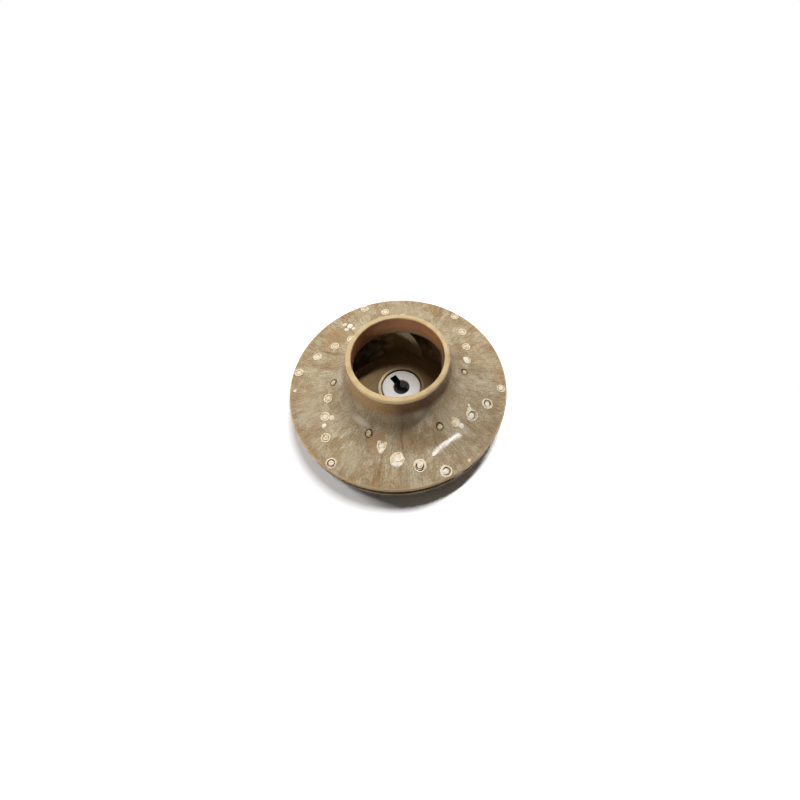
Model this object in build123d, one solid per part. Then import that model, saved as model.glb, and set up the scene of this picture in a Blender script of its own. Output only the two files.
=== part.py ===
from build123d import *
import math
import os

# Closed pump impeller: a front shroud with its suction neck, welded and staked onto a vaned rear
# disc that is moulded round a keyed metal hub insert. Millimetres, +Z along the shaft towards the
# suction neck, z = 0 on the rear face of the hub.

# ---- Rear disc and hub ----
impeller_radius = 79.0
rear_plate_thickness = 3.8
rear_hub_height = 8.0
rear_hub_radius = 21.0
rear_hub_draft = 2.0
rear_hub_fillet = 3.0

# ---- Front shroud and suction neck ----
outlet_width = 5.5
shroud_wall = 3.65
shroud_cone_angle = 7.0
neck_outer_radius = 34.1
neck_rise = 35.3
bell_radius = 26.0
lip_outer_round = 1.3
lip_inner_round = 0.7
shroud_rim_round = 1.6
plate_rim_round = 0.5

# ---- Vanes ----
vane_count = 6
vane_inlet_radius = 29.4
vane_tip_reach = 5.4
vane_inlet_angle = 20.0
vane_outlet_angle = 33.4
vane_start_angle = -52.5
vane_thickness = 3.4
vane_nose_thickness = 1.8
vane_taper_length = 12.0
weld_gap = 0.05

# ---- Pegs on the vanes' edges, staked through the shroud ----
pegs_per_vane = 5
peg_radius = 2.1
peg_hole_clearance = 0.55
first_peg_from_neck = 12.9
last_peg_from_rim = 4.8
open_peg_depth = 0.9
stake_radius = 3.2
stake_height = 0.4
stake_depth = 1.2
stake_groove_outer = 2.35
stake_groove_inner = 1.75
stake_groove_depth = 0.5
stake_gap = 0.05

# ---- Hub insert and the seat moulded round it ----
insert_radius = 14.2
insert_proud = 0.2
insert_fit = 0.02
insert_chamfer = 0.3
shaft_radius = 6.0
keyway_width = 5.2
keyway_reach = 11.4
keyway_angle = 135.0
lock_groove_depth = 1.0
lock_groove_width = 3.0
seat_groove_width = 1.1
seat_groove_depth = 1.2
seat_ring_width = 1.9
seat_ring_height = 0.8
seat_ring_round = 0.4

# ---- Mark left by the moulding pin in the hub floor ----
pin_mark_radius = 0.8
pin_mark_depth = 1.0
pin_mark_orbit = 21.3
pin_mark_angle = 131.0

# ---- Worked out from the sizes above ----
plate_top = rear_hub_height + rear_plate_thickness
cone = math.radians(shroud_cone_angle)
rim_top = plate_top + outlet_width + shroud_wall / math.cos(cone)
neck_top = rim_top + neck_rise
bell_centre_radius = neck_outer_radius + bell_radius
bell_centre_height = (
    rim_top + (impeller_radius - bell_centre_radius) * math.tan(cone) + bell_radius / math.cos(cone)
)
hole_radius = peg_radius + peg_hole_clearance
seat_radius = insert_radius + insert_fit
insert_top = plate_top + insert_proud
ring_inner_radius = seat_radius + seat_groove_width
ring_outer_radius = ring_inner_radius + seat_ring_width
weld_offset = -(shroud_wall + weld_gap)
embed = rear_plate_thickness / 2
lock_low = (insert_top - lock_groove_width) / 2
lock_high = lock_low + lock_groove_width
vane_pitch = 360 / vane_count

# ---- Fineness of the worked-out curves ----
outline_stations = 9
wrap_steps = 60
radius_tolerance = 1e-6


# ---- The bell curve of the shroud ----
def cone_height(radius, offset):
    """Height of the shroud's cone, moved outwards along its normal by offset."""
    return rim_top + (impeller_radius - radius) * math.tan(cone) + offset / math.cos(cone)


def bell_height(radius, offset):
    """Height of the shroud's bell and cone at a radius outside the neck."""
    arc_radius = bell_radius - offset
    if radius >= bell_centre_radius - arc_radius * math.sin(cone):
        return cone_height(radius, offset)
    return bell_centre_height - math.sqrt(arc_radius**2 - (bell_centre_radius - radius) ** 2)


def angle_on_bell(radius, offset):
    """Angle on the bell's arc, moved outwards by offset, at a radius. It is 180 beside the neck."""
    across = (bell_centre_radius - radius) / (bell_radius - offset)
    return 180 + math.degrees(math.acos(across))


def bell_edges(offset, end_radius, start=180.0):
    """Arc and cone line of the shroud's surface, moved outwards by offset, down to a radius."""
    centre = (bell_centre_radius, bell_centre_height)
    arc = CenterArc(centre, bell_radius - offset, start, 270 - shroud_cone_angle - start)
    return [arc, Line(arc @ 1, (end_radius, cone_height(end_radius, offset)))]


def turned(edges):
    """Solid of revolution about the shaft from a closed outline of radius and height."""
    return revolve(Plane.XZ * make_face(edges), Axis.Z)


def path(*points):
    """Straight edges from point to point."""
    return [Line(a, b) for a, b in zip(points, points[1:])]


# ---- The vanes' camber line ----
def blade_angle(radius):
    """Angle between the camber line and the tangent, growing evenly from inlet to outlet."""
    share = (radius - vane_inlet_radius) / (impeller_radius - vane_inlet_radius)
    return math.radians(vane_inlet_angle + (vane_outlet_angle - vane_inlet_angle) * share)


def wrap_at(radius):
    """Angle in degrees that the camber line has swept between its inlet end and a radius."""
    step = (radius - vane_inlet_radius) / wrap_steps
    wrap = 0.0
    for i in range(wrap_steps):
        middle = vane_inlet_radius + (i + 0.5) * step
        wrap += step / (middle * math.tan(blade_angle(middle)))
    return math.degrees(wrap)


def radius_at(wrap):
    """Radius at which the camber line has swept a given angle."""
    low, high = vane_inlet_radius, 2 * impeller_radius
    while high - low > radius_tolerance:
        middle = (low + high) / 2
        if wrap_at(middle) < wrap:
            low = middle
        else:
            high = middle
    return low


def camber_point(radius, side=0.0):
    """Point on the first vane's camber line, or beside it at its left (+1) or right (-1) face."""
    angle = math.radians(vane_start_angle + wrap_at(radius))
    heading = angle + math.pi / 2 - blade_angle(radius)
    grown = min((radius - vane_inlet_radius) / vane_taper_length, 1.0)
    thickness = vane_nose_thickness + (vane_thickness - vane_nose_thickness) * grown
    reach = side * thickness / 2
    return (
        radius * math.cos(angle) - reach * math.sin(heading),
        radius * math.sin(angle) + reach * math.cos(heading),
    )


def peg_places():
    """Centre and radius from the shaft of each peg on the first vane, evenly spread in angle."""
    first = wrap_at(neck_outer_radius + first_peg_from_neck)
    last = wrap_at(impeller_radius - last_peg_from_rim)
    places = []
    for i in range(pegs_per_vane):
        radius = radius_at(first + (last - first) * i / (pegs_per_vane - 1))
        places.append((camber_point(radius), radius))
    return places


# ---- Rear disc ----
def disc_body():
    """Rear plate, hub, and the seat that is moulded round the insert."""
    lock_radius = seat_radius - lock_groove_depth
    outline = path(
        (seat_radius, 0),
        (rear_hub_radius, 0),
        (rear_hub_radius + rear_hub_height * math.tan(math.radians(rear_hub_draft)), rear_hub_height),
        (impeller_radius, rear_hub_height),
        (impeller_radius, plate_top),
        (ring_outer_radius, plate_top),
        (ring_outer_radius, plate_top + seat_ring_height),
        (ring_inner_radius, plate_top + seat_ring_height),
        (ring_inner_radius, plate_top - seat_groove_depth),
        (seat_radius, plate_top - seat_groove_depth),
        (seat_radius, lock_high),
        (lock_radius, lock_high),
        (lock_radius, lock_low),
        (seat_radius, lock_low),
        (seat_radius, 0),
    )
    face = make_face(outline)
    corners = face.vertices()
    hub_corner = corners.filter_by_position(Axis.Y, rear_hub_height, rear_hub_height).sort_by(Axis.X)[0]
    face = fillet(hub_corner, rear_hub_fillet)
    rim_corners = face.vertices().sort_by(Axis.X)[-2:]
    face = fillet(rim_corners, plate_rim_round)
    ring_corners = face.vertices().sort_by(Axis.Y)[-2:]
    face = fillet(ring_corners, seat_ring_round)
    body = revolve(Plane.XZ * face, Axis.Z)
    mark = Pos(pin_mark_orbit, 0, plate_top) * Cylinder(pin_mark_radius, 2 * pin_mark_depth)
    return body - Rot(0, 0, pin_mark_angle) * mark


def water_passage():
    """Space between the discs that the vanes fill, from their swept inlet edge to the rim."""
    tip_radius = vane_inlet_radius + vane_tip_reach
    inlet = (vane_inlet_radius, plate_top)
    tip = (tip_radius, bell_height(tip_radius, weld_offset))
    floor = plate_top - embed
    edges = path((impeller_radius, floor), (vane_inlet_radius, floor), inlet)
    edges.append(TangentArc(inlet, tip, tangent=(0, 1)))
    edges += bell_edges(weld_offset, impeller_radius, angle_on_bell(tip_radius, weld_offset))
    edges += path(
        (impeller_radius, cone_height(impeller_radius, weld_offset)), (impeller_radius, floor)
    )
    return turned(edges)


def vane_blank():
    """First vane as an upright wall on its camber line, longer than the passage at its rim end."""
    far = impeller_radius + vane_thickness
    radii = [
        vane_inlet_radius + (far - vane_inlet_radius) * i / (outline_stations - 1)
        for i in range(outline_stations)
    ]
    left = [camber_point(radius, 1) for radius in radii]
    right = [camber_point(radius, -1) for radius in radii]
    start = camber_point(vane_inlet_radius)
    backwards = math.radians(vane_start_angle - vane_inlet_angle - 90)
    nose_radius = vane_nose_thickness / 2
    nose = (
        start[0] + nose_radius * math.cos(backwards),
        start[1] + nose_radius * math.sin(backwards),
    )
    outline = [
        Spline(*left),
        Line(left[-1], right[-1]),
        Spline(*right),
        ThreePointArc(right[0], nose, left[0]),
    ]
    return Pos(0, 0, plate_top - embed) * extrude(make_face(outline), neck_top - plate_top)


def shroud_layer(low, high):
    """Layer along the shroud's outer surface, under all the pegs, between two heights along its normal."""
    inner = neck_outer_radius + first_peg_from_neck / 2
    outer = impeller_radius
    edges = bell_edges(low, outer, angle_on_bell(inner, low))
    edges += bell_edges(high, outer, angle_on_bell(inner, high))
    edges += path((inner, bell_height(inner, low)), (inner, bell_height(inner, high)))
    edges += path((outer, cone_height(outer, low)), (outer, cone_height(outer, high)))
    return turned(edges)


def column(radius, height=neck_rise):
    """Upright cylinder on the rear plate, by default taller than the shroud is outside its neck."""
    foot = (Align.CENTER, Align.CENTER, Align.MIN)
    return Pos(0, 0, plate_top) * Cylinder(radius, height, align=foot)


def staked_end(centre, fill, collar):
    """Melted end of a peg: a plug in the mouth of its hole, and a collar squeezed out round it."""
    plug = Pos(*centre) * column(hole_radius - stake_gap) & fill
    return plug + (Pos(*centre) * column(stake_radius) & collar)


def vane_with_pegs():
    """First vane, cut to the passage, with its row of pegs. The innermost peg stays unmelted."""
    vane = vane_blank() & water_passage()
    top = stake_gap + stake_height
    fill = shroud_layer(-stake_depth, top)
    collar = shroud_layer(stake_gap, top)
    groove = shroud_layer(-stake_groove_depth, 2 * top)
    groove_column = column(stake_groove_outer) - column(stake_groove_inner)
    for i, (centre, radius) in enumerate(peg_places()):
        surface = bell_height(radius, 0)
        end = surface - open_peg_depth if i == 0 else surface
        vane += Pos(*centre) * column(peg_radius, end - plate_top)
        if i > 0:
            vane += staked_end(centre, fill, collar)
            vane -= Pos(*centre) * groove_column & groove
    return vane


def vaned_disc():
    """Rear disc with all its vanes, as one moulding."""
    vane = vane_with_pegs()
    return disc_body() + [Rot(0, 0, i * vane_pitch) * vane for i in range(vane_count)]


# ---- Front shroud ----
def front_shroud():
    """Shroud disc and suction neck of one wall, pierced for the pegs."""
    inner_radius = neck_outer_radius - shroud_wall
    outer = bell_edges(0, impeller_radius)
    inner = bell_edges(-shroud_wall, impeller_radius)
    neck = path(
        (neck_outer_radius, bell_centre_height),
        (neck_outer_radius, neck_top),
        (inner_radius, neck_top),
        (inner_radius, bell_centre_height),
    )
    rim_bottom = cone_height(impeller_radius, -shroud_wall)
    rim = path((impeller_radius, rim_top), (impeller_radius, rim_bottom))
    face = make_face(outer + inner + neck + rim)
    lip_inner = face.vertices().sort_by_distance((inner_radius, neck_top))[0]
    face = fillet(lip_inner, lip_inner_round)
    lip_outer = face.vertices().sort_by_distance((neck_outer_radius, neck_top))[0]
    face = fillet(lip_outer, lip_outer_round)
    rim_upper = face.vertices().sort_by_distance((impeller_radius, rim_top))[0]
    face = fillet(rim_upper, shroud_rim_round)
    body = revolve(Plane.XZ * face, Axis.Z)
    holes = [Pos(*centre) * column(hole_radius) for centre, _ in peg_places()]
    for i in range(vane_count):
        body -= [Rot(0, 0, i * vane_pitch) * hole for hole in holes]
    return body


# ---- Hub insert ----
def hub_insert():
    """Metal bush with a keyed bore and a groove that locks it in the moulding."""
    lock_radius = insert_radius - lock_groove_depth
    face = make_face(
        path(
            (shaft_radius, 0),
            (insert_radius, 0),
            (insert_radius, lock_low),
            (lock_radius, lock_low),
            (lock_radius, lock_high),
            (insert_radius, lock_high),
            (insert_radius, insert_top),
            (shaft_radius, insert_top),
            (shaft_radius, 0),
        )
    )
    ends = face.vertices().filter_by_position(Axis.Y, 0, 0)
    ends += face.vertices().filter_by_position(Axis.Y, insert_top, insert_top)
    face = chamfer(ends, insert_chamfer)
    bush = revolve(Plane.XZ * face, Axis.Z)
    keyway = Pos(keyway_reach / 2, 0, insert_top / 2) * Box(keyway_reach, keyway_width, insert_top)
    return bush - Rot(0, 0, keyway_angle) * keyway


os.makedirs("parts", exist_ok=True)
export_step(vaned_disc(), "parts/vaned_disc.step")
export_step(front_shroud(), "parts/front_shroud.step")
export_step(hub_insert(), "parts/hub_insert.step")
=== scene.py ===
import math
from collections import namedtuple

import bpy
from mathutils import Matrix, Vector


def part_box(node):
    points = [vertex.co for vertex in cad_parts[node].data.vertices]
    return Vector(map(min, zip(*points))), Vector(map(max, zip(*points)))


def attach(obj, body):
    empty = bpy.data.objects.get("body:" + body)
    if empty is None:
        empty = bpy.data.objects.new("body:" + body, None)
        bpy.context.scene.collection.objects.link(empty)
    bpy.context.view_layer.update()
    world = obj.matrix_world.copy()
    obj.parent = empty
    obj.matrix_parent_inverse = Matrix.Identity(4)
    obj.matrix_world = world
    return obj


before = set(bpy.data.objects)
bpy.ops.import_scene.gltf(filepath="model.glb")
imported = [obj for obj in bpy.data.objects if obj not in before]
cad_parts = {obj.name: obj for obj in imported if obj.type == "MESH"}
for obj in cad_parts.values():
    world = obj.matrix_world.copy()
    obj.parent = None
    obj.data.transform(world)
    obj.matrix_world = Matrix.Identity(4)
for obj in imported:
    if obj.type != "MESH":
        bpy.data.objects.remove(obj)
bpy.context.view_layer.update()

MM = 0.001

# ---- Sizes of the impeller, in millimetres, from the frame where it holds them ----
RIM_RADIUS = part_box("front_shroud")[1][0] / MM
NECK_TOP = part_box("front_shroud")[1][2] / MM
INSERT_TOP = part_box("hub_insert")[1][2] / MM
BORE_RADIUS = 6.0
PLATE_TOP = 11.8
NECK_RADIUS = 34.1
NECK_BORE_RADIUS = 30.45
NECK_RISE = 35.3
BELL_RADIUS = 26.0
CONE_ANGLE = math.radians(7.0)
RIM_TOP = NECK_TOP - NECK_RISE
BELL_CENTRE_RADIUS = NECK_RADIUS + BELL_RADIUS
BELL_CENTRE_HEIGHT = (
    RIM_TOP
    + (RIM_RADIUS - BELL_CENTRE_RADIUS) * math.tan(CONE_ANGLE)
    + BELL_RADIUS / math.cos(CONE_ANGLE)
)

# ---- The vanes' camber line and the pegs along it, in millimetres and degrees ----
VANE_COUNT = 6
VANE_INLET_RADIUS = 29.4
VANE_INLET_ANGLE = 20.0
VANE_OUTLET_ANGLE = 33.4
VANE_START = -52.5
CAMBER_STEPS = 600
PEGS_PER_VANE = 5
FIRST_PEG_RADIUS = NECK_RADIUS + 12.9
LAST_PEG_RADIUS = RIM_RADIUS - 4.8

# ---- Where the finishes change, in millimetres and degrees ----
KNIT_HEADING = -78.7
KNIT_INNER_END = 33.0
KNIT_OUTER_END = 66.0
KNIT_LINE_REACH = 1.4
KNIT_SHADE_REACH = 11.0
AMBER_START_RADIUS = 56.0
AMBER_FULL_RADIUS = 80.0
NECK_SHADE_OUTER_RADIUS = 45.0
NECK_SHADE_FULL_RADIUS = 37.0
NECK_BROWN_FOOT = 36.5
NECK_BROWN_FULL = 43.5
NECK_BROWN_WANDER = 1.2
LIP_DEPTH_INSIDE = 1.6
LIP_DEPTH_OUTSIDE = 4.2
LIP_WANDER = 0.6
LIP_FADE = 1.8
RIM_EDGE_WIDTH = 1.7
EYE_RADIUS = 34.0
CHANNEL_DARK_RADIUS = 70.0
SEAT_RING_RADIUS = 17.6
STAKE_FOOT = 19.5
STAKES_INNER_RADIUS = 40.0
# The ways that the neck's side with painted shade and the seat ring's side with painted light face.
NECK_SHADED_SIDE = (0.87, -0.5, 0.0)
SEAT_LIT_SIDE = (-0.82, -0.57, 0.0)

# ---- Camera, lamps and floor, in metres and degrees unless the name says otherwise ----
LENS_LENGTH_MM = 16.0
SENSOR_WIDTH_MM = 36.0
FRAME_SHIFT = (-0.0562647, -0.0268451)
CAMERA_ELEVATION = 60.142
CAMERA_ROLL = 6.98962
CAMERA_ABOVE_RIM_MM = (32.136, -125.405, 230.272)
AIM_HEIGHT = 25 * MM
SOFTBOX_DISTANCE = 1.1
SNOOT_LAMP_RADIUS = 0.03
SNOOT_EDGE_BLEND = 0.7
ROOM_FILL = 0.032
FLOOR_REACH = 8.0
# Under the hub the table seen directly is darker: a painted shadow.
FLOOR_PAINTED_SHADOW_RADIUS = 8 * MM
FLOOR_LIGHT_RADIUS = 20 * MM
FLOOR_FADE_START = 0.16
FLOOR_FADE_END = 0.34
FLOOR_SEEN_WHITE = 1.5
FLOOR_PAINTED_SHADOW_UNDER_HUB = 0.1


def tone(red, green, blue):
    """Linear colour of a paint-chart tone given in steps of 255."""
    steps = [value / 255 for value in (red, green, blue)]
    return tuple(s / 12.92 if s <= 0.04045 else ((s + 0.055) / 1.055) ** 2.4 for s in steps)


# ---- Tones of the mouldings, their melted ends and the insert ----
STONE = tone(168, 146, 112)
STONE_PALE = tone(192, 177, 148)
# Dark tone of the moulding, also used for painted shade.
STONE_DARK_AND_SHADE = tone(128, 101, 66)
RIM_TAN_AND_LIGHT = tone(236, 196, 144)
GOLD_TAN = tone(208, 172, 122)
CHANNEL_PAINTED_SHADE = tone(122, 100, 68)
# Whitish tone of the painted highlights and reflections on the shroud.
PAINTED_SHEEN = tone(226, 214, 196)
AMBER = tone(168, 128, 80)
NECK_BROWN = tone(184, 148, 100)
# Deep brown of the knit line, also used for painted shade on one side of the neck.
NECK_DEEP_AND_SHADE = tone(94, 62, 42)
EYE_WALL = tone(192, 136, 94)
EYE_WALL_DEEP = tone(140, 96, 66)
PAINTED_VANE_SHADOW = tone(36, 29, 21)
LIP_TAN = tone(192, 162, 112)
LIP_PALE = tone(222, 200, 156)
EYE_BROWN = tone(124, 102, 70)
EYE_GREY = tone(140, 130, 106)
SEAT_PALE_AND_LIT = tone(224, 206, 168)
PEG_BARE = tone(190, 164, 122)
GROOVE_SHADE = tone(72, 56, 38)
MELT_CREAM = tone(254, 247, 228)
MELT_HONEY = tone(228, 204, 158)
AGED_CREAM = tone(230, 212, 170)
AGED_HONEY = tone(188, 158, 108)
INSERT_LIGHT = tone(250, 249, 246)
INSERT_GREY = tone(226, 224, 219)
BORE_GREY = tone(158, 155, 151)
KEYWAY_PAINTED_SHADE = tone(34, 33, 32)
TABLE_WHITE = (0.82, 0.82, 0.83)


# ---------------------------------------------------------------------------
# Nodes and finishes
# ---------------------------------------------------------------------------
class Nodes:
    """Short calls for the nodes of one tree."""

    def __init__(self, tree):
        self.tree = tree

    def node(self, kind, inputs=None, **settings):
        """New node, with its settings made and its inputs fed by name or place."""
        made = self.tree.nodes.new(kind)
        for key, value in settings.items():
            setattr(made, key, value)
        for key, value in (inputs or {}).items():
            self.feed(made.inputs[key], value)
        return made

    def feed(self, socket, value):
        """Links an output to a socket, or sets the socket's own value."""
        if isinstance(value, bpy.types.NodeSocket):
            self.tree.links.new(value, socket)
        elif socket.type == "RGBA":
            socket.default_value = (*value[:3], 1.0)
        else:
            socket.default_value = value

    def math(self, operation, *values, clamp=False):
        settings = {"operation": operation, "use_clamp": clamp}
        return self.node("ShaderNodeMath", dict(enumerate(values)), **settings).outputs[0]

    def product(self, *values):
        total = values[0]
        for value in values[1:]:
            total = self.math("MULTIPLY", total, value)
        return total

    def vector(self, operation, *values):
        made = self.node("ShaderNodeVectorMath", dict(enumerate(values)), operation=operation)
        return made.outputs["Value"] if operation in ("LENGTH", "DOT_PRODUCT") else made.outputs[0]

    def split(self, value):
        return self.node("ShaderNodeSeparateXYZ", {0: value}).outputs

    def join(self, x, y, z):
        return self.node("ShaderNodeCombineXYZ", {0: x, 1: y, 2: z}).outputs[0]

    def noise(self, place, scale, detail=3.0, roughness=0.5, distortion=0.0):
        inputs = {
            "Vector": place,
            "Scale": scale,
            "Detail": detail,
            "Roughness": roughness,
            "Distortion": distortion,
        }
        return self.node("ShaderNodeTexNoise", inputs).outputs["Fac"]

    def ramp(self, value, low, high, start=0.0, end=1.0):
        """Smooth step of a value from low to high, as a number from start to end."""
        inputs = {"Value": value, "From Min": low, "From Max": high, "To Min": start, "To Max": end}
        made = self.node("ShaderNodeMapRange", inputs, interpolation_type="SMOOTHSTEP")
        return made.outputs["Result"]

    def blend(self, factor, first, second, mode="MIX"):
        inputs = {0: factor, 6: first, 7: second}
        return self.node("ShaderNodeMix", inputs, data_type="RGBA", blend_type=mode).outputs[2]

    def bump(self, height, distance, strength, under=None):
        inputs = {"Strength": strength, "Distance": distance, "Height": height}
        if under is not None:
            inputs["Normal"] = under
        return self.node("ShaderNodeBump", inputs).outputs[0]

    def shader_mix(self, factor, first, second):
        return self.node("ShaderNodeMixShader", {0: factor, 1: first, 2: second}).outputs[0]


class Finish(Nodes):
    """A material with its node tree, read at the place on the object."""

    def __init__(self, name):
        self.material = bpy.data.materials.new(name)
        self.material.use_nodes = True
        super().__init__(self.material.node_tree)
        self.shader = self.tree.nodes["Principled BSDF"]
        self.output = self.tree.nodes["Material Output"]
        self.place = self.node("ShaderNodeTexCoord").outputs["Object"]

    def set(self, name, value):
        self.feed(self.shader.inputs[name], value)


class MouldedFinish(Finish):
    """Glass-filled moulding: grey clouds on tan, brown smudges along the flow, fine fibres."""

    def __init__(self, name):
        super().__init__(name)
        x, y, self.z = self.split(self.place)
        flat = self.join(x, y, 0.0)
        self.radius = self.vector("LENGTH", flat)
        self.heading = self.vector("NORMALIZE", flat)
        self.drift = self.noise(self.place, 30.0, detail=2.0)
        self.plume = self.noise(self.flow(3.0, 16.0, 0.9), 1.0, detail=4.0, roughness=0.6)
        self.smudge = self.noise(self.flow(10.0, 30.0, 1.8), 1.0, detail=5.0, roughness=0.62)
        self.cloud = self.noise(self.place, 75.0, detail=6.0, roughness=0.62, distortion=1.2)
        self.fibre = self.noise(self.flow(75.0, 140.0, 3.0), 1.0, detail=3.0, roughness=0.6)
        self.speck = self.noise(self.place, 1000.0, detail=3.0, roughness=0.65)
        self.colour = self.marbling()

    def flow(self, turns, lengths, sway):
        """Place in the flow: the heading and the radius, each at its own scale, swaying a little."""
        around = self.vector("MULTIPLY", self.heading, (turns, turns, turns))
        swayed = self.product(self.drift, sway)
        outwards = self.product(self.radius, lengths)
        return self.vector("ADD", around, self.join(swayed, swayed, outwards))

    def axes(self, heading):
        """Distance from the axis along a heading, and distance to the left of it."""
        turn = math.radians(heading)
        along = self.vector("DOT_PRODUCT", self.place, (math.cos(turn), math.sin(turn), 0.0))
        left = self.vector("DOT_PRODUCT", self.place, (-math.sin(turn), math.cos(turn), 0.0))
        return along, left

    def patch(self, heading, radius, width, length):
        """Soft patch at a heading and radius, its width across them and its length along the radius."""
        along, left = self.axes(heading)
        across = self.product(left, 1 / (width * MM))
        outwards = self.product(self.math("SUBTRACT", along, radius * MM), 1 / (length * MM))
        ragged = self.ramp(self.cloud, 0.3, 0.7, -0.3, 0.3)
        far = self.math("ADD", self.vector("LENGTH", self.join(across, outwards, 0.0)), ragged)
        return self.ramp(far, 1.3, 0.1)

    def marbling(self):
        """Base colour, marbled along the flow from the neck to the rim."""
        colour = self.blend(self.ramp(self.cloud, 0.40, 0.66), STONE, STONE_PALE)
        colour = self.blend(self.ramp(self.plume, 0.52, 0.72, 0.0, 0.55), colour, STONE_PALE)
        colour = self.blend(self.ramp(self.plume, 0.46, 0.28, 0.0, 0.5), colour, STONE_DARK_AND_SHADE)
        colour = self.blend(self.ramp(self.smudge, 0.54, 0.72, 0.0, 0.65), colour, STONE_DARK_AND_SHADE)
        near_rim = self.ramp(self.radius, AMBER_START_RADIUS * MM, AMBER_FULL_RADIUS * MM)
        amber = self.product(near_rim, self.ramp(self.smudge, 0.44, 0.64, 0.03, 0.36))
        colour = self.blend(amber, colour, AMBER)
        fibres = self.ramp(self.fibre, 0.3, 0.7, -0.2, 0.2)
        specks = self.ramp(self.speck, 0.3, 0.7, -0.22, 0.22)
        shade = self.math("ADD", 1.0, self.math("ADD", fibres, specks))
        return self.blend(1.0, colour, self.join(shade, shade, shade), "MULTIPLY")


SHROUD_PATCHES = [
    # heading, radius, width, length (mm), tone, strength
    (-110, 66, 9, 9, STONE_PALE, 0.6),
    # The six whitish patches that follow are painted highlights and reflections.
    (-117, 43.0, 8, 2.2, PAINTED_SHEEN, 0.7),
    (-59, 37.0, 5, 2.5, PAINTED_SHEEN, 0.5),
    (-33, 59.0, 3, 6, PAINTED_SHEEN, 0.4),
    (5.6, 59.6, 2.5, 6, PAINTED_SHEEN, 0.5),
    (-2.4, 45.0, 2.5, 3, PAINTED_SHEEN, 0.45),
    (-165, 41.5, 6, 3, PAINTED_SHEEN, 0.5),
    (-30, 47, 12, 8, STONE_PALE, 0.45),
    (-152, 66, 14, 10, STONE_PALE, 0.4),
    (96, 66, 14, 7, STONE_PALE, 0.5),
    (24, 67, 12, 8, STONE_PALE, 0.3),
    (-97, 50, 7, 8, GOLD_TAN, 0.6),
    (-55, 52, 14, 12, STONE_DARK_AND_SHADE, 0.35),
    (-66, 50, 8, 9, STONE_DARK_AND_SHADE, 0.4),
    (-100, 54, 9, 16, STONE_DARK_AND_SHADE, 0.35),
    (-137, 76, 9, 4, AMBER, 0.45),
    (-176, 75, 18, 5, AMBER, 0.3),
    (152, 66, 8, 12, AMBER, 0.4),
    (12, 72, 10, 7, AMBER, 0.35),
    (48, 75, 10, 5, AMBER, 0.4),
    (-128, 77, 7, 3, AMBER, 0.4),
]
# Patches of the same form: pale ripples on the shroud, and a painted shadow on the side of one vane in
# the eye.
RIPPLE_PATCH = (-148, 50, 20, 12)
PAINTED_VANE_SHADOW_PATCH = (178, 32, 42, 28)


def knit_line(finish, colour, sway):
    """Adds the dark line where two melt fronts met, beside the neck, and a painted shade in a brown
    wedge along it.
    """
    along, left = finish.axes(KNIT_HEADING)
    beside = finish.math("ABSOLUTE", finish.math("SUBTRACT", left, sway))
    inner_end = finish.ramp(along, KNIT_INNER_END * MM, (KNIT_INNER_END + 3) * MM)
    outer_end = finish.ramp(along, KNIT_OUTER_END * MM, (KNIT_OUTER_END - 16) * MM)
    reach = finish.product(inner_end, outer_end)
    line = finish.product(finish.ramp(beside, KNIT_LINE_REACH * MM, 0.1 * MM), reach, 0.55)
    # The wedge along the line is painted shade.
    shade_wedge = finish.product(finish.ramp(beside, KNIT_SHADE_REACH * MM, 0.5 * MM), reach, 0.55)
    colour = finish.blend(line, colour, NECK_DEEP_AND_SHADE)
    return finish.blend(shade_wedge, colour, STONE_DARK_AND_SHADE)


def brown_neck(finish, colour, sway):
    """Adds the neck's brown with painted shade deepest on one side, a darker foot that is partly its
    tone and partly painted shade, and the redder walls inside it.
    """
    # Darker ring at the neck's foot: partly its tone, partly painted shade in the crease.
    near = finish.ramp(finish.radius, NECK_SHADE_OUTER_RADIUS * MM, NECK_SHADE_FULL_RADIUS * MM)
    colour = finish.blend(finish.product(near, 0.4), colour, STONE_DARK_AND_SHADE)
    swayed_height = finish.math("ADD", finish.z, sway)
    neck = finish.ramp(swayed_height, NECK_BROWN_FOOT * MM, NECK_BROWN_FULL * MM)
    mottle = finish.product(finish.noise(finish.place, 90.0, detail=4.0), 0.5)
    # One side of the neck is deeper brown: painted shade.
    side = finish.ramp(finish.vector("DOT_PRODUCT", finish.heading, NECK_SHADED_SIDE), 0.3, 0.75)
    deep = finish.math("ADD", mottle, finish.product(side, 0.7), clamp=True)
    colour = finish.blend(neck, colour, finish.blend(deep, NECK_BROWN, NECK_DEEP_AND_SHADE))
    inside = finish.ramp(
        finish.radius, (NECK_BORE_RADIUS + 1.15) * MM, (NECK_BORE_RADIUS + 0.45) * MM
    )
    wall = finish.blend(finish.noise(finish.place, 70.0, detail=4.0), EYE_WALL, EYE_WALL_DEEP)
    return finish.blend(inside, colour, wall)


def lip_mask(finish, wander):
    """1 on the neck's lip, which is deeper outside the neck than inside it, with an uneven foot."""
    outside = finish.ramp(finish.radius, (NECK_RADIUS - 1.1) * MM, (NECK_RADIUS - 0.1) * MM)
    inner_foot = (NECK_TOP - LIP_DEPTH_INSIDE) * MM
    outer_foot = (NECK_TOP - LIP_DEPTH_OUTSIDE) * MM
    foot = finish.ramp(outside, 0.0, 1.0, inner_foot, outer_foot)
    uneven = finish.ramp(wander, 0.2, 0.8, -LIP_WANDER * MM, LIP_WANDER * MM)
    above_foot = finish.math("ADD", finish.math("SUBTRACT", finish.z, foot), uneven)
    return finish.ramp(above_foot, 0.0, LIP_FADE * MM)


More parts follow.
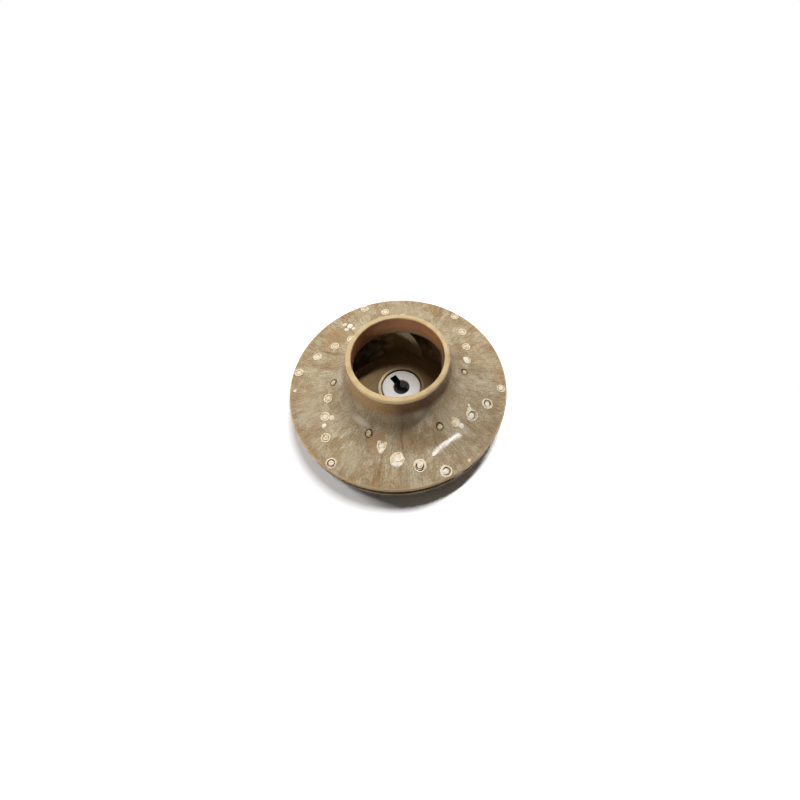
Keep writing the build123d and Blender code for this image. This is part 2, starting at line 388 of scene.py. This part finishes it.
def shroud_finish():
    """Marbled shroud with its patches, some of them painted highlights, its knit line with painted
    shade beside it, a brown neck with painted shade, a pale lip and a tan rim that is partly painted
    light.
    """
    finish = MouldedFinish("front_shroud_moulding")
    colour = finish.colour
    for heading, radius, width, length, patch_tone, strength in SHROUD_PATCHES:
        patch = finish.patch(heading, radius, width, length)
        colour = finish.blend(finish.product(patch, strength), colour, patch_tone)
    ripple = finish.ramp(finish.noise(finish.flow(9.0, 430.0, 5.0), 1.0, detail=2.0), 0.52, 0.62)
    ripple = finish.product(ripple, finish.patch(*RIPPLE_PATCH), 0.9)
    colour = finish.blend(ripple, colour, STONE_PALE)
    wander = finish.noise(finish.place, 120.0, detail=3.0)
    sway = finish.ramp(wander, 0.2, 0.8, -NECK_BROWN_WANDER * MM, NECK_BROWN_WANDER * MM)
    colour = knit_line(finish, colour, sway)
    colour = brown_neck(finish, colour, sway)
    lip = lip_mask(finish, wander)
    lip_tone = finish.blend(finish.noise(finish.place, 160.0, detail=4.0), LIP_TAN, LIP_PALE)
    colour = finish.blend(lip, colour, lip_tone)
    # Tan band round the rim edge: partly its tone, partly painted light on the rim's side wall.
    rim_edge = finish.ramp(
        finish.radius, (RIM_RADIUS - RIM_EDGE_WIDTH) * MM, (RIM_RADIUS - 0.5) * MM
    )
    colour = finish.blend(finish.product(rim_edge, 0.7), colour, RIM_TAN_AND_LIGHT)
    finish.set("Base Color", colour)
    satin = finish.ramp(finish.speck, 0.3, 0.7, 0.20, 0.34)
    finish.set("Roughness", finish.math("ADD", satin, finish.product(lip, 0.3)))
    fine = finish.bump(finish.speck, 0.02 * MM, 0.5)
    finish.set("Normal", finish.bump(finish.smudge, 0.15 * MM, 0.4, fine))
    finish.set("Specular IOR Level", 0.12)
    finish.set("Coat Weight", 0.35)
    finish.set("Coat IOR", 1.4)
    finish.set("Coat Roughness", 0.05)
    return finish.material


def disc_finish():
    """Vaned disc: painted shade in the channels and on one vane's side in the eye, olive in the eye,
    pale round the insert with painted light on one side, and pale on the stakes.
    """
    finish = MouldedFinish("vaned_disc_moulding")
    # Channel floors darker towards the rim: painted shade under the shroud.
    above_plate = finish.ramp(finish.z, (PLATE_TOP - 0.4) * MM, PLATE_TOP * MM)
    outer = finish.ramp(finish.radius, (CHANNEL_DARK_RADIUS - 10) * MM, CHANNEL_DARK_RADIUS * MM)
    colour = finish.blend(finish.product(above_plate, outer, 0.7), finish.colour, CHANNEL_PAINTED_SHADE)
    eye = finish.product(finish.ramp(finish.radius, (EYE_RADIUS + 6) * MM, EYE_RADIUS * MM), 0.85)
    vane_side = finish.ramp(finish.z, (PLATE_TOP + 1.0) * MM, (PLATE_TOP + 2.2) * MM)
    eye_tone = finish.blend(finish.product(vane_side, 0.6), EYE_BROWN, EYE_GREY)
    colour = finish.blend(eye, colour, eye_tone)
    # Painted shadow on the side of one vane in the eye.
    shaded = finish.product(finish.patch(*PAINTED_VANE_SHADOW_PATCH), vane_side)
    colour = finish.blend(shaded, colour, PAINTED_VANE_SHADOW)
    seat = finish.product(
        finish.ramp(finish.radius, SEAT_RING_RADIUS * MM, (SEAT_RING_RADIUS - 0.6) * MM),
        finish.ramp(finish.z, (PLATE_TOP - 0.8) * MM, (PLATE_TOP + 0.4) * MM),
    )
    # The ring is paler on the side that faces the light: painted light.
    side = finish.vector("DOT_PRODUCT", finish.heading, SEAT_LIT_SIDE)
    seat = finish.product(seat, finish.ramp(side, -0.4, 0.8, 0.2, 0.9))
    colour = finish.blend(seat, colour, SEAT_PALE_AND_LIT)
    stake = finish.product(
        finish.ramp(finish.z, STAKE_FOOT * MM, (STAKE_FOOT + 1) * MM),
        finish.ramp(finish.radius, STAKES_INNER_RADIUS * MM, (STAKES_INNER_RADIUS + 2) * MM),
    )
    melt = finish.blend(finish.noise(finish.place, 420.0, detail=3.0), MELT_HONEY, MELT_CREAM)
    first_pegs = finish.ramp(
        finish.radius, (FIRST_PEG_RADIUS + 3) * MM, (FIRST_PEG_RADIUS + 2) * MM
    )
    colour = finish.blend(stake, colour, finish.blend(first_pegs, melt, PEG_BARE))
    finish.set("Base Color", colour)
    finish.set("Roughness", finish.ramp(finish.speck, 0.3, 0.7, 0.28, 0.46))
    finish.set("Normal", finish.bump(finish.speck, 0.03 * MM, 0.5))
    finish.set("Specular IOR Level", 0.15)
    return finish.material


def insert_finish():
    """Pale grained metal, grey in the bore, and painted shade that makes the keyway black."""
    finish = Finish("sintered_insert")
    grain = finish.noise(finish.place, 1400.0, detail=3.0, roughness=0.7)
    stain = finish.noise(finish.place, 160.0, detail=3.0)
    colour = finish.blend(finish.ramp(grain, 0.35, 0.75), INSERT_LIGHT, INSERT_GREY)
    colour = finish.blend(finish.ramp(stain, 0.5, 0.8, 0.0, 0.4), colour, INSERT_GREY)
    x, y, z = finish.split(finish.place)
    radius = finish.vector("LENGTH", finish.join(x, y, 0.0))
    in_bore = finish.ramp(z, (INSERT_TOP - 0.25) * MM, (INSERT_TOP - 0.6) * MM)
    # The keyway's black is painted shade.
    keyway = finish.ramp(radius, (BORE_RADIUS + 0.2) * MM, (BORE_RADIUS + 0.6) * MM)
    colour = finish.blend(in_bore, colour, finish.blend(keyway, BORE_GREY, KEYWAY_PAINTED_SHADE))
    finish.set("Base Color", colour)
    finish.set("Metallic", finish.ramp(in_bore, 0.0, 1.0, 0.35, 0.0))
    finish.set("Roughness", finish.ramp(grain, 0.3, 0.7, 0.34, 0.5))
    finish.set("Normal", finish.bump(grain, 0.02 * MM, 0.6))
    return finish.material


def melt_finish(name, pale, deep):
    """Glossy melt, clouded from pale to deep."""
    finish = Finish(name)
    cloud = finish.noise(finish.place, 330.0, detail=4.0)
    colour = finish.blend(finish.ramp(cloud, 0.46, 0.66), pale, deep)
    finish.set("Base Color", colour)
    finish.set("Roughness", finish.ramp(cloud, 0.3, 0.7, 0.16, 0.34))
    finish.set("Normal", finish.bump(cloud, 0.15 * MM, 0.5))
    return finish.material


def groove_shade_finish():
    """Painted shade in the grooves and pits, dull dark brown."""
    finish = Finish("painted_groove_shade")
    shade_mottle = finish.noise(finish.place, 700.0, detail=3.0)
    finish.set("Base Color", finish.blend(finish.ramp(shade_mottle, 0.4, 0.7), GROOVE_SHADE, STONE_DARK_AND_SHADE))
    finish.set("Roughness", finish.ramp(shade_mottle, 0.3, 0.7, 0.6, 0.8))
    finish.set("Normal", finish.bump(shade_mottle, 0.05 * MM, 0.5))
    return finish.material


# ---------------------------------------------------------------------------
# Places on the shroud
# ---------------------------------------------------------------------------
def shroud_height(radius):
    """Height of the shroud's outer surface outside the neck, in millimetres."""
    if radius >= BELL_CENTRE_RADIUS - BELL_RADIUS * math.sin(CONE_ANGLE):
        return RIM_TOP + (RIM_RADIUS - radius) * math.tan(CONE_ANGLE)
    return BELL_CENTRE_HEIGHT - math.sqrt(BELL_RADIUS**2 - (BELL_CENTRE_RADIUS - radius) ** 2)


def shroud_normal(x, y):
    """Outward normal of the shroud at a place, from its slope along the radius."""
    step = 0.05
    radius = math.hypot(x, y)
    slope = (shroud_height(radius + step) - shroud_height(radius - step)) / (2 * step)
    return Vector((-slope * x / radius, -slope * y / radius, 1.0)).normalized()


def camber_table():
    """Radius and swept angle along the camber line, in short steps."""
    reach = RIM_RADIUS - VANE_INLET_RADIUS
    step = reach / CAMBER_STEPS
    table = [(VANE_INLET_RADIUS, 0.0)]
    for i in range(CAMBER_STEPS):
        middle = VANE_INLET_RADIUS + (i + 0.5) * step
        share = (middle - VANE_INLET_RADIUS) / reach
        blade = math.radians(VANE_INLET_ANGLE + (VANE_OUTLET_ANGLE - VANE_INLET_ANGLE) * share)
        swept = math.degrees(step / (middle * math.tan(blade)))
        table.append((middle + step / 2, table[-1][1] + swept))
    return table


def nearest_row(table, column, value):
    return min(table, key=lambda row: abs(row[column] - value))


def peg_places():
    """Place on the shroud of every peg, as (vane, peg, x, y) in millimetres."""
    table = camber_table()
    first = nearest_row(table, 0, FIRST_PEG_RADIUS)[1]
    last = nearest_row(table, 0, LAST_PEG_RADIUS)[1]
    places = []
    for vane in range(VANE_COUNT):
        for peg in range(PEGS_PER_VANE):
            swept = first + (last - first) * peg / (PEGS_PER_VANE - 1)
            radius = nearest_row(table, 1, swept)[0]
            angle = math.radians(VANE_START + swept + vane * 360 / VANE_COUNT)
            places.append((vane, peg, radius * math.cos(angle), radius * math.sin(angle)))
    return places


# ---------------------------------------------------------------------------
# Dressing the CAD nodes
# ---------------------------------------------------------------------------
# Corners nearer to each other than this are joined, and only edges sharper than this look sharp.
WELD_DISTANCE = 0.001 * MM
SHARP_ANGLE = 32


def dress(node_name, material):
    """Gives a CAD node its finish, and smooth shading between its sharp edges."""
    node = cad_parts[node_name]
    node.data.materials.clear()
    node.data.materials.append(material)
    node.data.polygons.foreach_set("material_index", [0] * len(node.data.polygons))
    node.data.polygons.foreach_set("use_smooth", [True] * len(node.data.polygons))
    weld = node.modifiers.new("joined_facets", "WELD")
    weld.merge_threshold = WELD_DISTANCE
    split = node.modifiers.new("sharp_edges", "EDGE_SPLIT")
    split.split_angle = math.radians(SHARP_ANGLE)


dress("front_shroud", shroud_finish())
dress("vaned_disc", disc_finish())
dress("hub_insert", insert_finish())


# ---------------------------------------------------------------------------
# Melted flash round the pegs
# ---------------------------------------------------------------------------
# A melt at a place and a depth under the shroud's surface, in millimetres. Its ring and its bead
# have a radius and a height each, and either can be absent.
Melt = namedtuple("Melt", "x y depth ring bead")
# A look: the ring and the bead, how far the bead sits off centre, the radius of the painted shade in
# the groove between the two and the radius of a painted-shade pit, in millimetres.
Look = namedtuple("Look", "ring bead shift groove pit")
ABSENT = (0.0, 0.0)
MELT_LOOKS = {
    "nub": Look(ABSENT, (1.9, 0.9), 0.5, 0.0, 2.6),
    "ring": Look((3.8, 0.55), (2.2, 0.85), 0.8, 2.5, 0.0),
    "thin": Look((3.6, 0.4), (2.0, 0.75), 0.75, 2.4, 0.0),
    "eyelet": Look((2.5, 0.7), ABSENT, 0.0, 0.0, 1.5),
    "disc": Look((2.7, 0.9), (4.8, 0.42), 1.7, 0.0, 0.0),
    "dull": Look((3.4, 0.35), (1.6, 0.4), 0.6, 2.3, 0.0),
    "blob": Look(ABSENT, (2.7, 0.75), 0.3, 0.0, 0.0),
    "dot": Look(ABSENT, (2.0, 0.6), 0.2, 0.0, 0.0),
    "aged": Look((2.6, 0.3), (1.9, 0.45), 0.3, 0.0, 0.0),
    "faint": Look((2.9, 0.25), (1.6, 0.35), 0.4, 0.0, 0.0),
}
AGED_LOOKS = ("nub", "aged", "dull", "faint")
# Look of each peg of a row from the neck outwards, and the heading that its bead leans to.
PEG_LOOKS = [
    (("nub", -20), ("blob", 200), ("aged", 30), ("faint", 120), ("aged", 260)),
    (("nub", 180), ("aged", 90), ("faint", 150), ("faint", 60), ("aged", 200)),
    (("nub", 180), ("aged", 30), ("aged", 180), ("eyelet", 90), ("eyelet", 270)),
    (("nub", 165), ("aged", 240), ("eyelet", 45), ("aged", 100), ("dull", 80)),
    (("nub", 150), ("dot", 80), ("disc", 250), ("ring", 80), ("thin", 215)),
    (("nub", -45), ("blob", 300), ("ring", 225), ("thin", 265), ("dot", 90)),
]
NUB_DEPTH = 0.55
SHADE_SHEET_HEIGHT = 0.3
RING_STEPS = 40
RING_SECTION_STEPS = 12
RING_SECTION_STRETCH = 6.0
BEAD_STEPS = 28
# Drops of melt away from the pegs: x, y, bead radius and bead height, in millimetres.
STRAY_DROPS = [
    (-52.1, 43.6, 1.7, 0.35),
    (-47.6, 42.6, 2.3, 0.3),
    (-49.5, 38.9, 1.6, 0.3),
    (-44.2, 40.4, 1.4, 0.3),
    (-72.5, -18.5, 1.2, 0.25),
    (-44.7, -42.4, 1.7, 0.4),
    (-40.9, -36.2, 2.0, 0.35),
    (54.8, -53.1, 1.1, 0.3),
    (47.1, -30.6, 2.1, 0.6),
    (51.9, -17.4, 1.8, 0.5),
    (51.3, -14.4, 1.0, 0.3),
    (-3.4, -54.7, 2.0, 0.55),
    (-5.7, -49.9, 1.3, 0.45),
    (-1.3, -50.0, 1.1, 0.4),
    (41.5, -27.2, 1.5, 0.4),
]


def melt_points(melts):
    """Mesh of one point for each melt, with the way it faces and the sizes of its ring and bead."""
    mesh = bpy.data.meshes.new("melt_places")
    normals = [shroud_normal(melt.x, melt.y) for melt in melts]
    places = []
    for melt, normal in zip(melts, normals):
        surface = Vector((melt.x, melt.y, shroud_height(math.hypot(melt.x, melt.y))))
        places.append((surface - melt.depth * normal) * MM)
    mesh.from_pydata(places, [], [])
    outward = mesh.attributes.new("outward", "FLOAT_VECTOR", "POINT")
    ring = mesh.attributes.new("ring", "FLOAT_VECTOR", "POINT")
    bead = mesh.attributes.new("bead", "FLOAT_VECTOR", "POINT")
    for i, (melt, normal) in enumerate(zip(melts, normals)):
        outward.data[i].vector = normal
        for attribute, (radius, height) in ((ring, melt.ring), (bead, melt.bead)):
            attribute.data[i].vector = (radius, radius, height)
    return mesh


def unit_ring(nodes, thickness):
    """Ring of radius 1 whose round section is stretched upwards."""
    circle = "GeometryNodeCurvePrimitiveCircle"
    path = nodes.node(circle, {"Resolution": RING_STEPS, "Radius": 1.0})
    section = nodes.node(circle, {"Resolution": RING_SECTION_STEPS, "Radius": thickness})
    curves = {"Curve": path.outputs["Curve"], "Profile Curve": section.outputs["Curve"]}
    ring = nodes.node("GeometryNodeCurveToMesh", curves)
    stretch = {"Geometry": ring.outputs["Mesh"], "Scale": (1.0, 1.0, RING_SECTION_STRETCH)}
    return nodes.node("GeometryNodeTransform", stretch).outputs["Geometry"]


def unit_bead(nodes):
    """Ball of radius 1."""
    sizes = {"Segments": BEAD_STEPS, "Rings": BEAD_STEPS // 2, "Radius": 1.0}
    return nodes.node("GeometryNodeMeshUVSphere", sizes).outputs["Mesh"]


def set_on_points(nodes, points, shape, size_name):
    """The shape at each point, facing outwards, at the size that the point gives if it is over 0."""
    named = "GeometryNodeInputNamedAttribute"
    outward = nodes.node(named, {"Name": "outward"}, data_type="FLOAT_VECTOR").outputs["Attribute"]
    size = nodes.node(named, {"Name": size_name}, data_type="FLOAT_VECTOR").outputs["Attribute"]
    turned = nodes.node("FunctionNodeAlignRotationToVector", {"Vector": outward}, axis="Z")
    metres = nodes.node("ShaderNodeVectorMath", {0: size, "Scale": MM}, operation="SCALE")
    radius = nodes.split(size)["X"]
    present = nodes.node(
        "FunctionNodeCompare", {"A": radius}, data_type="FLOAT", operation="GREATER_THAN"
    )
    placing = {
        "Points": points,
        "Selection": present.outputs["Result"],
        "Instance": shape,
        "Rotation": turned.outputs["Rotation"],
        "Scale": metres.outputs[0],
    }
    return nodes.node("GeometryNodeInstanceOnPoints", placing).outputs["Instances"]


def melt_tree(material):
    """Tree that sets a lumpy ring and a lumpy bead of melt on every point."""
    tree = bpy.data.node_groups.new("melted_flash", "GeometryNodeTree")
    for in_out in ("INPUT", "OUTPUT"):
        tree.interface.new_socket("Geometry", in_out=in_out, socket_type="NodeSocketGeometry")
    for name in ("Ring thickness", "Lump scale", "Lump height", "Seed"):
        tree.interface.new_socket(name, in_out="INPUT", socket_type="NodeSocketFloat")
    nodes = Nodes(tree)
    given = nodes.node("NodeGroupInput").outputs
    both = nodes.node("GeometryNodeJoinGeometry")
    shapes = {"ring": unit_ring(nodes, given["Ring thickness"]), "bead": unit_bead(nodes)}
    for name, shape in shapes.items():
        placed = set_on_points(nodes, given["Geometry"], shape, name)
        nodes.feed(both.inputs["Geometry"], placed)
    real = nodes.node("GeometryNodeRealizeInstances", {"Geometry": both.outputs["Geometry"]})
    lumpiness = {"Scale": given["Lump scale"], "W": given["Seed"], "Detail": 2.0}
    lumps = nodes.node("ShaderNodeTexNoise", lumpiness, noise_dimensions="4D").outputs["Color"]
    centred = nodes.vector("SUBTRACT", lumps, (0.5, 0.5, 0.5))
    pushing = {0: centred, "Scale": given["Lump height"]}
    pushed = nodes.node("ShaderNodeVectorMath", pushing, operation="SCALE").outputs[0]
    moving = {"Geometry": real.outputs["Geometry"], "Offset": pushed}
    moved = nodes.node("GeometryNodeSetPosition", moving).outputs["Geometry"]
    coating = {"Geometry": moved, "Material": material}
    coated = nodes.node("GeometryNodeSetMaterial", coating).outputs["Geometry"]
    nodes.node("NodeGroupOutput", {"Geometry": coated})
    return tree


def melt_piece(name, melts, material, sizes):
    """Plain mesh of the melts' rings and beads, riding on the impeller."""
    tree = melt_tree(material)
    maker = bpy.data.objects.new("melt_maker", melt_points(melts))
    bpy.context.scene.collection.objects.link(maker)
    modifier = maker.modifiers.new(name, "NODES")
    modifier.node_group = tree
    for item in tree.interface.items_tree:
        if item.in_out == "INPUT" and item.name in sizes:
            modifier[item.identifier] = sizes[item.name]
    evaluated = maker.evaluated_get(bpy.context.evaluated_depsgraph_get())
    mesh = bpy.data.meshes.new_from_object(evaluated)
    bpy.data.objects.remove(maker)
    mesh.polygons.foreach_set("use_smooth", [True] * len(mesh.polygons))
    piece = bpy.data.objects.new(name, mesh)
    bpy.context.scene.collection.objects.link(piece)
    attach(piece, "root")


def peg_melt():
    """Flash rings and beads at the staked pegs, painted shade in their grooves and pits, and the stray
    drops.
    """
    fresh = [Melt(x, y, 0.0, ABSENT, (radius, height)) for x, y, radius, height in STRAY_DROPS]
    aged, groove_shades = [], []
    for vane, peg, x, y in peg_places():
        name, lean = PEG_LOOKS[vane][peg]
        look = MELT_LOOKS[name]
        depth = NUB_DEPTH if name == "nub" else 0.0
        aside_x = look.shift * math.cos(math.radians(lean))
        aside_y = look.shift * math.sin(math.radians(lean))
        flash = aged if name in AGED_LOOKS else fresh
        flash.append(Melt(x, y, depth, look.ring, ABSENT))
        flash.append(Melt(x + aside_x, y + aside_y, depth, ABSENT, look.bead))
        # The groove and the pit are dark sheets of painted shade.
        groove = (look.groove, SHADE_SHEET_HEIGHT)
        groove_shades.append(Melt(x - aside_x / 2, y - aside_y / 2, depth, groove, ABSENT))
        groove_shades.append(Melt(x, y, depth, ABSENT, (look.pit, SHADE_SHEET_HEIGHT)))
    lumpy = {"Ring thickness": 0.14, "Lump scale": 420.0, "Lump height": 1.1 * MM, "Seed": 4.0}
    even = {"Ring thickness": 0.28, "Lump scale": 500.0, "Lump height": 0.3 * MM, "Seed": 9.0}
    fresh_finish = melt_finish("melted_peg_flash", MELT_CREAM, MELT_HONEY)
    melt_piece("melted_flash", fresh, fresh_finish, lumpy)
    melt_piece("aged_flash", aged, melt_finish("aged_peg_flash", AGED_CREAM, AGED_HONEY), lumpy)
    melt_piece("groove_shade_sheets", groove_shades, groove_shade_finish(), even)


peg_melt()


# ---------------------------------------------------------------------------
# Floor, light and camera
# ---------------------------------------------------------------------------
def seen_directly(nodes):
    """1 for the rays that show the background itself: to the camera, in a mirror or through glass."""
    path = nodes.node("ShaderNodeLightPath").outputs
    seen = nodes.math("MAXIMUM", path["Is Camera Ray"], path["Is Glossy Ray"])
    return nodes.math("MAXIMUM", seen, path["Is Transmission Ray"])


def table_finish():
    """White table, which is whiter where it is seen directly, with a painted shadow under the hub, and
    fades to plain white far away.
    """
    finish = Finish("white_table")
    far = finish.vector("LENGTH", finish.place)
    unseen = finish.node("ShaderNodeBsdfDiffuse", {"Color": TABLE_WHITE}).outputs[0]
    # Seen directly, the table is dark under the hub: a painted shadow.
    white = finish.ramp(
        far, FLOOR_PAINTED_SHADOW_RADIUS, FLOOR_LIGHT_RADIUS, FLOOR_PAINTED_SHADOW_UNDER_HUB, FLOOR_SEEN_WHITE
    )
    whiteness = finish.join(white, white, white)
    near = finish.node("ShaderNodeBsdfDiffuse", {"Color": whiteness}).outputs[0]
    glow = finish.node("ShaderNodeEmission").outputs[0]
    fade = finish.ramp(far, FLOOR_FADE_START, FLOOR_FADE_END)
    seen = finish.shader_mix(fade, near, glow)
    surface = finish.shader_mix(seen_directly(finish), unseen, seen)
    finish.feed(finish.output.inputs["Surface"], surface)
    return finish.material


def floor():
    """Table under the impeller, at height 0."""
    mesh = bpy.data.meshes.new("floor")
    reach = FLOOR_REACH
    corners = [(-reach, -reach, 0), (reach, -reach, 0), (reach, reach, 0), (-reach, reach, 0)]
    mesh.from_pydata(corners, [], [(0, 1, 2, 3)])
    mesh.materials.append(table_finish())
    plane = bpy.data.objects.new("floor", mesh)
    bpy.context.scene.collection.objects.link(plane)


def facing(heading, elevation):
    """Direction from the impeller at a heading and an elevation, in degrees."""
    level = math.radians(elevation)
    turn = math.radians(heading)
    reach = math.cos(level)
    return Vector((reach * math.cos(turn), reach * math.sin(turn), math.sin(level)))


def softbox(name, heading, elevation, across, along, power, lie=None, mirrored=False):
    """Area lamp aimed at the impeller, its long side at a heading of its own or along its rays.

    It lights the surfaces, or, when mirrored, shows in their gloss and lights nothing.
    """
    lamp = bpy.data.lights.new(name, "AREA")
    lamp.shape = "RECTANGLE"
    lamp.size = across
    lamp.size_y = along
    lamp.energy = power
    holder = bpy.data.objects.new(name, lamp)
    holder.visible_glossy = mirrored
    holder.visible_diffuse = not mirrored
    bpy.context.scene.collection.objects.link(holder)
    out = facing(heading, elevation)
    side = facing(heading if lie is None else lie, 0).cross(out).normalized()
    turned = Matrix((side, out.cross(side), out)).transposed().to_4x4()
    place = Vector((0.0, 0.0, AIM_HEIGHT)) + out * SOFTBOX_DISTANCE
    holder.matrix_world = Matrix.Translation(place) @ turned


def snoot(name, heading, elevation, distance, reach, power):
    """Narrow spot lamp on the suction neck, lighting a circle of a given radius in millimetres."""
    lamp = bpy.data.lights.new(name, "SPOT")
    lamp.energy = power
    lamp.spot_size = 2 * math.atan(reach * MM / distance)
    lamp.spot_blend = SNOOT_EDGE_BLEND
    lamp.shadow_soft_size = SNOOT_LAMP_RADIUS
    holder = bpy.data.objects.new(name, lamp)
    holder.visible_glossy = False
    bpy.context.scene.collection.objects.link(holder)
    out = facing(heading, elevation)
    holder.location = Vector((0.0, 0.0, NECK_TOP * MM)) + out * distance
    holder.rotation_euler = out.to_track_quat("Z", "Y").to_euler()


def room():
    """Dim white light from all round, which is full white where it is seen directly."""
    world = bpy.data.worlds.new("white_room")
    world.use_nodes = True
    nodes = Nodes(world.node_tree)
    background = nodes.tree.nodes["Background"]
    nodes.feed(background.inputs["Color"], (1.0, 1.0, 1.0))
    strength = nodes.ramp(seen_directly(nodes), 0.0, 1.0, ROOM_FILL, 1.0)
    nodes.feed(background.inputs["Strength"], strength)
    bpy.context.scene.world = world


def camera():
    """Wide lens close above the front rim, rolled a little, with its frame shifted."""
    lens = bpy.data.cameras.new("camera")
    lens.lens = LENS_LENGTH_MM
    lens.sensor_width = SENSOR_WIDTH_MM
    lens.shift_x, lens.shift_y = FRAME_SHIFT
    lens.clip_start = 1 * MM
    lens.clip_end = 100.0
    holder = bpy.data.objects.new("camera", lens)
    bpy.context.scene.collection.objects.link(holder)
    tilt = Matrix.Rotation(math.radians(90 - CAMERA_ELEVATION), 4, "X")
    roll = Matrix.Rotation(math.radians(CAMERA_ROLL), 4, "Z")
    x, y, above_rim = CAMERA_ABOVE_RIM_MM
    place = Matrix.Translation((x * MM, y * MM, (RIM_TOP + above_rim) * MM))
    holder.matrix_world = place @ tilt @ roll
    bpy.context.scene.camera = holder


floor()
room()
camera()
softbox("overhead_key", heading=66.0, elevation=65.8, across=0.05, along=0.50, power=9.5, lie=42)
softbox(
    "overhead_strip",
    heading=28.2,
    elevation=75.8,
    across=0.009,
    along=0.24,
    power=0.72,
    lie=42.5,
    mirrored=True,
)
softbox("left_softbox", heading=164, elevation=38, across=0.24, along=0.24, power=4.6)
snoot("neck_snoot", heading=-110, elevation=24, distance=0.9, reach=50, power=14)
bpy.context.scene.view_settings.view_transform = "Standard"
